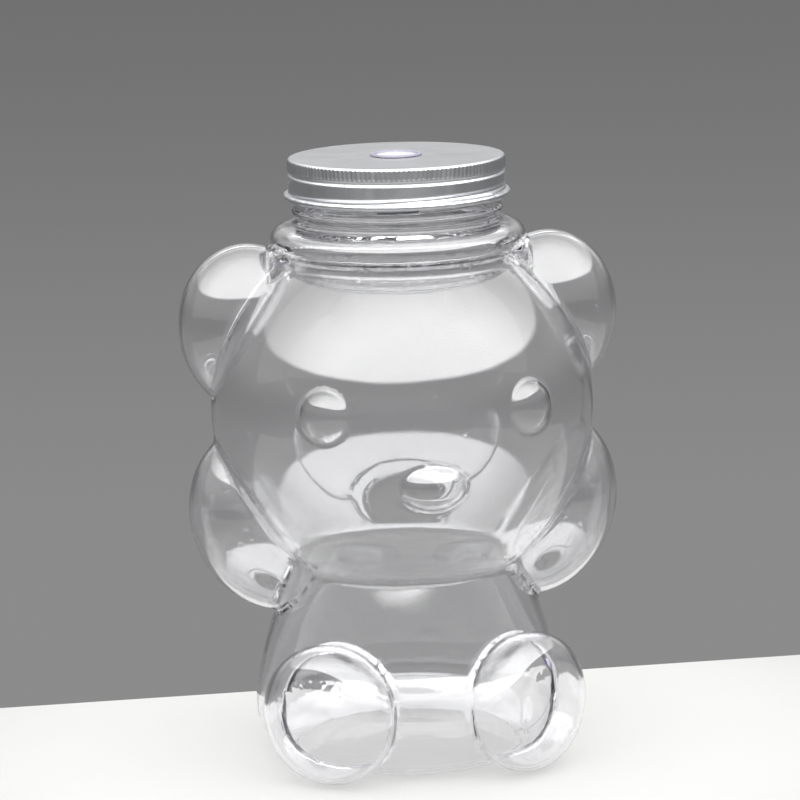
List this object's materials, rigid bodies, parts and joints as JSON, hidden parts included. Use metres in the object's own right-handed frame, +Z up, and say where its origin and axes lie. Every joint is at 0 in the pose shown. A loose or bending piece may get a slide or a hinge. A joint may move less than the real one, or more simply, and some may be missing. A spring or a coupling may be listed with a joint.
{
  "type": "bear-shaped water bottle",
  "caption": "Clear blow-moulded bottle in the shape of a sitting bear, with a wide screw neck, an aluminium screw cap, a foam liner and a stopper in the cap's straw hole.",
  "frame": {"origin": "on the table, under the middle of the whole object's box; the neck's axis is 1.3 mm behind it", "axes": "+Z up along the neck, -Y the way the bear looks, +X to the bear's left hand side"},
  "size_m": [0.1088, 0.0946, 0.1486],
  "materials": {
    "clear_pet": "clear, glossy as blown",
    "cap_aluminium": "satin, drawn and clear lacquered",
    "liner_foam": "white foamed polyethylene, matte",
    "stopper_silicone": "white moulded silicone, satin"
  },
  "bodies": {
    "bottle": {"bottle_body": "clear_pet"},
    "liner": {"cap_liner": "liner_foam"},
    "cap": {"screw_cap": "cap_aluminium"},
    "stopper": {"straw_stopper": "stopper_silicone"}
  },
  "joints": [
    {"name": "cap_rise", "type": "slide", "parent": "bottle", "child": "liner", "axis": [0, 0, 1], "range_m": [0, 0.0102]},
    {"name": "cap_turn", "type": "hinge", "parent": "liner", "child": "cap", "pos_m": [0, 0.0013, 0.143], "axis": [0, 0, 1], "range_deg": [0, 1000]},
    {"name": "stopper_pull", "type": "slide", "parent": "cap", "child": "stopper", "axis": [0, 0, 1], "range_m": [0, 0.009]}
  ],
  "couplings": [
    {"joint": "cap_rise", "follows": "cap_turn", "m_per_rad": 0.00057296}
  ]
}
